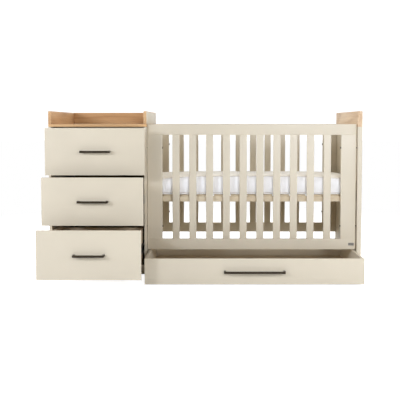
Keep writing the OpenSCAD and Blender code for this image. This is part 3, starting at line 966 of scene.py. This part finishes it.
@dataclass
class FarEnd:
    """The far end's panel with its oak cap, and the glides under all panels."""

    ease: float = 1.0 * MM

    def build(self) -> None:
        """Makes the end."""
        Bench.eased("end_panel", CREAM, self.ease)
        # The cap takes the paler copy of the oak, as painted light.
        Bench.eased("end_cap", LIT_CAP_OAK, self.ease)
        Bench.eased("floor_glides", GLIDE, *MOULDING)


@dataclass
class MattressBase:
    """The base's rails and slats."""

    ease: float = 0.9 * MM

    def build(self) -> None:
        """Makes the base."""
        Bench.eased("base_long_rails", BIRCH_X, self.ease)
        Bench.eased("base_end_rails", BIRCH_Y, self.ease)
        Bench.eased("base_slats", BIRCH_Y, self.ease)


@dataclass
class Fittings:
    """Bolts and the blank plate."""

    def build(self) -> None:
        """Makes the fittings."""
        Bolts("side_bolts").build()
        Bolts("base_bolts").build()
        Bench.eased("blank_plate", PLATE, *SMALL_PLATE)


COVER_CLOTH = {
    "quality": 5,
    "mass": 0.25,
    "tension_stiffness": 12,
    "compression_stiffness": 12,
    "shear_stiffness": 6,
    "bending_stiffness": 0.6,
    "use_pressure": True,
    "uniform_pressure_force": 4,
    "shrink_min": -0.03,
}


@dataclass
class Mattress:
    """A foam mattress in a sewn cover with piping along its edges.

    Attributes:
        voxel: The size of the cloth's faces.
        shrink: How much smaller it starts, because it swells.
        cap: How far a point may move while it swells.
        flat: The height up to which it stays flat on the base.
        seam_depth: How far the lower piping lies above the underside.
        seam_reach: How far from that seam points are held, over a face's size.
        wall: How high a wall's normal reaches.
        shoulder: Between which heights the upper edge's normals reach.
        shoulder_hold: How firmly the upper edge is held.
        edge: How far in from the upper edge the upper piping is looked for.
        seam_rise: How steeply it is looked for, as height over width.
        waist: How far below the middle the wall is looked for.
        piping: The piping's radius.
        proud: How far the piping stands out, over its radius.
        stitches: How many points it has along each long side.
        top_slope: How high a normal reaches where the top panel starts.
        frames: How many frames it swells for.
        evening: How often its small lumps are evened out.
        dents: Scales and depths of the slow and the small dents.
        creases: Folds near the corners: distance from the end, slant and depth.
        fold_level: The share of the height at which that distance is given.
        fold_width: How fast a fold fades to its sides.
        fold_side: How far along the depth a normal reaches where folds are.
    """

    voxel: float = 9 * MM
    shrink: float = 3 * MM
    cap: float = 6 * MM
    flat: float = 2 * MM
    seam_depth: float = 13 * MM
    seam_reach: float = 0.6
    wall: float = 0.75
    shoulder: tuple[float, float] = (0.3, 0.9)
    shoulder_hold: float = 0.7
    edge: float = 24 * MM
    seam_rise: float = 1.3
    waist: float = 10 * MM
    piping: float = 2.3 * MM
    proud: float = 0.35
    stitches: int = 96
    top_slope: float = 0.72
    frames: int = 20
    evening: int = 3
    dents: tuple[tuple[float, float], ...] = ((7, 0.5 * MM), (23, 0.15 * MM))
    creases: tuple[tuple[float, float, float], ...] = (
        (0.066, 0.024, 5.5 * MM),
        (0.094, -0.01, 2.0 * MM),
        (0.04, 0.01, 2.4 * MM),
    )
    fold_level: float = 0.85
    fold_width: float = 3 * MM
    fold_side: float = 0.35

    def shell(self) -> Object:
        """Makes the mattress's shape of small even faces, a little shrunk.

        Returns:
            The shell.
        """
        name = "mattress_shell"
        shell = placed(name, mesh_data(name, Bench.copy_of("mattress")))
        even = shell.modifiers.new("even", "REMESH")
        even.mode, even.voxel_size, even.use_smooth_shade = "VOXEL", self.voxel, True
        fine = applied(shell)
        shell.modifiers.clear()
        shell.data = fine
        low = min(v.co.z for v in fine.vertices)
        for vert, out in zip(fine.vertices, normals_of(fine)):
            inward = out * self.shrink
            vert.co.x -= inward.x
            vert.co.y -= inward.y
            if vert.co.z > low + self.seam_depth:
                vert.co.z -= inward.z
        return shell

    def sewn(self, shell: Object) -> list[float]:
        """Returns how firmly each point is held: the seams and the underside are.

        Args:
            shell: The mattress's shell.

        Returns:
            One weight for each vertex.
        """
        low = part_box("mattress")[0]
        weights = []
        for vert in shell.data.vertices:
            height = vert.co.z - low.z
            weight = 1.0 if height < self.flat else 0.0
            near = abs(height - self.seam_depth) < self.voxel * self.seam_reach
            if near and abs(vert.normal.z) < self.wall:
                weight = 1.0
            if self.shoulder[0] < vert.normal.z < self.shoulder[1]:
                weight = self.shoulder_hold
            weights.append(weight)
        return weights

    def swell(self, shell: Object) -> None:
        """Fills the cover by a cloth simulation and keeps its result.

        Args:
            shell: The mattress's shell, whose mesh is changed.
        """
        group = shell.vertex_groups.new(name="sewn")
        for index, weight in enumerate(self.sewn(shell)):
            if weight > 0:
                group.add([index], weight, "REPLACE")
        start = [v.co.copy() for v in shell.data.vertices]
        cloth = shell.modifiers.new("fill", "CLOTH")
        for setting, value in COVER_CLOTH.items():
            setattr(cloth.settings, setting, value)
        cloth.settings.vertex_group_mass = "sewn"
        cloth.settings.effector_weights.gravity = 0
        cloth.collision_settings.use_collision = False
        cloth.collision_settings.use_self_collision = False
        cloth.point_cache.frame_start = 1
        cloth.point_cache.frame_end = self.frames
        for number in range(1, self.frames + 1):
            bpy.context.scene.frame_set(number)
        graph = bpy.context.evaluated_depsgraph_get()
        swollen = shell.evaluated_get(graph).data.vertices
        ends = []
        for vert, before in zip(swollen, start):
            move = vert.co - before
            if move.length > self.cap:
                move = move.normalized() * self.cap
            ends.append(before + move)
        shell.modifiers.clear()
        shell.vertex_groups.clear()
        for vert, end in zip(shell.data.vertices, ends):
            vert.co = end
        bpy.context.scene.frame_set(1)

    def refine(self, shell: Object) -> None:
        """Evens the shell and halves its faces' size, so that it can take folds.

        Args:
            shell: The mattress's shell, whose mesh is changed.
        """
        mesh = bmesh.new()
        mesh.from_mesh(shell.data)
        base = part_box("mattress")[0].z + self.flat
        free = [v for v in mesh.verts if v.co.z > base]
        for _ in range(self.evening):
            bmesh.ops.smooth_vert(
                mesh, verts=free, factor=0.5, use_axis_x=True, use_axis_y=True, use_axis_z=True
            )
        mesh.to_mesh(shell.data)
        mesh.free()
        soft = shell.modifiers.new("soft", "SUBSURF")
        soft.levels = soft.render_levels = 1
        fine = applied(shell)
        shell.modifiers.clear()
        shell.data = fine

    def crease(self, shell: Object) -> None:
        """Presses the cover's folds and slow dents into the shell.

        Args:
            shell: The mattress's shell, whose mesh is changed.
        """
        low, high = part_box("mattress")
        for vert, out in zip(shell.data.vertices, normals_of(shell.data)):
            height = vert.co.z - low.z
            if height < self.flat:
                continue
            dent = sum(noise.noise(vert.co * scale) * depth for scale, depth in self.dents)
            along = min(vert.co.x - low.x, high.x - vert.co.x)
            if abs(out.y) > self.fold_side:
                level = height / (high.z - low.z)
                for at, slant, depth in self.creases:
                    line = at + slant * (self.fold_level - level)
                    near = math.exp(-abs(along - line) / self.fold_width)
                    dent -= depth * near * math.sin(math.pi * min(1, max(0, level))) ** 0.5
            vert.co += out * dent

    def piped(self, shell: Object) -> None:
        """Sews piping round the cover's upper and lower edges.

        Args:
            shell: The finished shell, which the piping follows.
        """
        tree = BVHTree.FromObject(shell, bpy.context.evaluated_depsgraph_get())
        low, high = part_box("mattress")
        middle = (low + high) / 2
        spine = (high.x - low.x - (high.y - low.y)) / 2
        curve = bpy.data.curves.new("piping", "CURVE")
        curve.dimensions = "3D"
        curve.bevel_depth, curve.bevel_resolution = self.piping, 3
        for upper in (False, True):
            points = []
            for origin, away in self.rays(middle, spine):
                start, way = Vector((*origin.xy, low.z + self.seam_depth)), away
                if upper:
                    wall = tree.ray_cast(Vector((*origin.xy, middle.z - self.waist)), away)[0]
                    over = wall - away * self.edge
                    above = Vector((*over.xy, high.z + self.edge))
                    top = tree.ray_cast(above, Vector((0, 0, -1)))[0]
                    start = top - Vector((0, 0, self.edge))
                    way = (away + Vector((0, 0, self.seam_rise))).normalized()
                hit = tree.ray_cast(start, way)[0]
                points.append(hit + way * self.piping * self.proud)
            line = curve.splines.new("POLY")
            line.points.add(len(points) - 1)
            for point, place in zip(line.points, points):
                point.co = (*place, 1.0)
            line.use_cyclic_u = True
        path = placed("piping_path", curve)
        data = applied(path)
        bpy.data.objects.remove(path)
        mesh = bmesh.new()
        mesh.from_mesh(data)
        for face in mesh.faces:
            face.smooth = True
        # The piping's darker tint paints the shade line along the seam.
        Bench.add("mattress_piping", mesh, SHADED_PIPING, "mattress")

    def rays(self, middle: Vector, spine: float) -> list[tuple[Vector, Vector]]:
        """Returns where to look for the wall all round, and in which direction.

        Args:
            middle: The mattress's middle.
            spine: Half the length of the line that the rays start from.

        Returns:
            Pairs of a start and a direction.
        """
        found = []
        turn = self.stitches // 2
        for side in (1, -1):
            for k in range(self.stitches):
                x = side * spine * (1 - 2 * k / self.stitches)
                found.append((middle + Vector((x, 0, 0)), Vector((0, side, 0))))
            for k in range(turn):
                angle = math.radians(90 + 180 * k / turn)
                away = Vector((side * math.cos(angle), side * math.sin(angle), 0))
                found.append((middle + Vector((-side * spine, 0, 0)), away))
        return found

    def build(self) -> None:
        """Makes the mattress."""
        shell = self.shell()
        self.swell(shell)
        self.refine(shell)
        self.crease(shell)
        shell.name = "mattress_cover"
        for face in shell.data.polygons:
            face.use_smooth = True
        shell.data.materials.clear()
        for finish in (COVER, WARMER_TOP):
            shell.data.materials.append(finish.material())
        for face in shell.data.polygons:
            face.material_index = int(face.normal.z > self.top_slope)
        self.piped(shell)
        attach(shell, "mattress")
        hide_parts("mattress")
        LOG.info("mattress_cover: %d faces", len(shell.data.polygons))


# ---- studio ----


@dataclass(frozen=True)
class Softbox:
    """A large soft light.

    Attributes:
        name: Its name.
        place: Where it stands.
        size: Its width and height.
        power: Its power in watts.
        tint: Its colour.
        aim: What it points at.
    """

    name: str
    place: XYZ
    size: tuple[float, float]
    power: float
    tint: RGB
    aim: XYZ = (0.0, 0.0, 0.5)

    def build(self) -> None:
        """Sets the light up."""
        light = bpy.data.lights.new(self.name, "AREA")
        light.shape = "RECTANGLE"
        light.size, light.size_y = self.size
        light.energy, light.color = self.power, self.tint
        lamp = placed(self.name, light)
        lamp.location = self.place
        aim = Vector(self.aim) - Vector(self.place)
        lamp.rotation_euler = aim.to_track_quat("-Z", "Y").to_euler()


@dataclass
class Studio:
    """A pale floor that runs into white, soft lights and the camera.

    Attributes:
        sensor: The width of the camera's sensor in millimetres.
        lens: Its focal length in millimetres.
        eye: Where the camera stands.
        tilt: How far it looks down, in degrees.
        shift: How far its picture is shifted.
        back_glow: How strongly the white wall behind lights the object.
        far_glow: How strongly the floor further away does.
        near_lift: How much whiter the floor under the object looks than it is lit.
        floor_edge: Where the near floor starts and ends running into white.
        floor_half: Half the floor's width.
        horizon: How far back a direction looks where the wall's light starts and is full.
        lights: The lights, which all point at the object's middle.
    """

    sensor: float = 36
    lens: float = 59.302
    eye: XYZ = (0.0303, -4.0715, 0.9183)
    tilt: float = 3.098
    shift: tuple[float, float] = (-0.0261, -0.1041)
    back_glow: float = 1.19
    far_glow: float = 0.452
    near_lift: float = 0.9
    floor_edge: tuple[float, float] = (1.6, 3.2)
    floor_half: float = 30
    horizon: tuple[float, float] = (-0.15, 0.25)
    lights: tuple[Softbox, ...] = (
        Softbox("top_softbox", (0.0, 0.6, 4.2), (3.0, 3.0), 14, (0.95, 1.0, 1.1)),
        Softbox("left_softbox", (-3.0, -3.2, 2.3), (1.2, 1.2), 36, (0.93, 1.0, 1.17)),
        Softbox("left_low_softbox", (-3.6, -1.2, 1.0), (1.2, 1.2), 42, (0.93, 1.0, 1.17)),
        Softbox("left_strip", (-2.6, -2.6, 1.5), (0.8, 0.3), 24, (0.93, 1.0, 1.17)),
        Softbox("right_softbox", (1.6, -4.0, 2.0), (1.2, 1.2), 74, (0.96, 1.0, 1.09)),
        Softbox("right_low_softbox", (3.4, -1.2, 1.0), (1.2, 1.2), 22, (0.9, 1.0, 1.27)),
        Softbox("right_near_softbox", (1.8, -1.5, 0.8), (0.6, 0.6), 4.4, (0.94, 1.0, 1.14)),
    )

    def camera(self) -> None:
        """Puts the camera where the picture was taken from."""
        data = bpy.data.cameras.new("camera")
        data.sensor_width, data.lens = self.sensor, self.lens
        data.shift_x, data.shift_y = self.shift
        camera = placed("camera", data)
        camera.location = self.eye
        camera.rotation_euler = (math.radians(90 - self.tilt), 0, 0)
        bpy.context.scene.camera = camera

    def floor(self) -> None:
        """Lays a pale floor that runs into white further away."""
        mesh = bmesh.new()
        bmesh.ops.create_grid(mesh, x_segments=1, y_segments=1, size=self.floor_half)
        data = mesh_data("floor", mesh)
        graph = Graph("floor_paper")
        paper = graph.noise(scale=40)
        tone = graph.mix(paper, dimmed(WHITE, 0.93), dimmed(WHITE, 0.96))
        seen = graph.node("ShaderNodeLightPath", {}, {}, "Is Camera Ray")
        near = graph.node("ShaderNodeBsdfPrincipled", {}, {
            "Base Color": tone,
            "Roughness": 0.9,
            "Specular IOR Level": 0.1,
            "Emission Color": WHITE,
            "Emission Strength": seen * self.near_lift,
        })
        glow = seen.math("MAXIMUM", seen, self.far_glow)
        far = graph.node("ShaderNodeEmission", {}, {"Color": WHITE, "Strength": glow})
        length = {"operation": "LENGTH"}
        away = graph.node("ShaderNodeVectorMath", length, {0: graph.place}, "Value")
        share = away.between(*self.floor_edge)
        both = graph.node("ShaderNodeMixShader", {}, {0: share, 1: near, 2: far})
        graph.finish(both)
        data.materials.append(graph.material)
        placed("floor", data)

    def surroundings(self) -> None:
        """Makes the room that lights softly and looks white."""
        scene = bpy.context.scene
        graph = Graph("white_room", bpy.data.worlds.new("white_room"))
        way = graph.node("ShaderNodeTexCoord", {}, {}, "Generated")
        depth = graph.node("ShaderNodeSeparateXYZ", {}, {0: way}, "Y")
        seen = graph.node("ShaderNodeLightPath", {}, {}, "Is Camera Ray")
        strength = seen.math("MAXIMUM", seen, depth.between(*self.horizon) * self.back_glow)
        white = {"Color": WHITE, "Strength": strength}
        graph.finish(graph.node("ShaderNodeBackground", {}, white))
        scene.world = graph.material
        scene.view_settings.view_transform = "Standard"

    def build(self) -> None:
        """Sets the studio up."""
        self.camera()
        self.floor()
        self.surroundings()
        for light in self.lights:
            light.build()


def main() -> None:
    """Builds every sub-assembly and the studio."""
    logging.basicConfig(level=logging.INFO, format="%(name)s %(message)s")
    Chest().build()
    ChangingTray().build()
    for place in ("upper", "middle", "lower"):
        ChestDrawer(place).build()
    FarEnd().build()
    SlattedSide("front").build()
    SlattedSide("back").build()
    MattressBase().build()
    UnderbedDrawer().build()
    Fittings().build()
    Mattress().build()
    Studio().build()


if __name__ == "__main__":
    main()
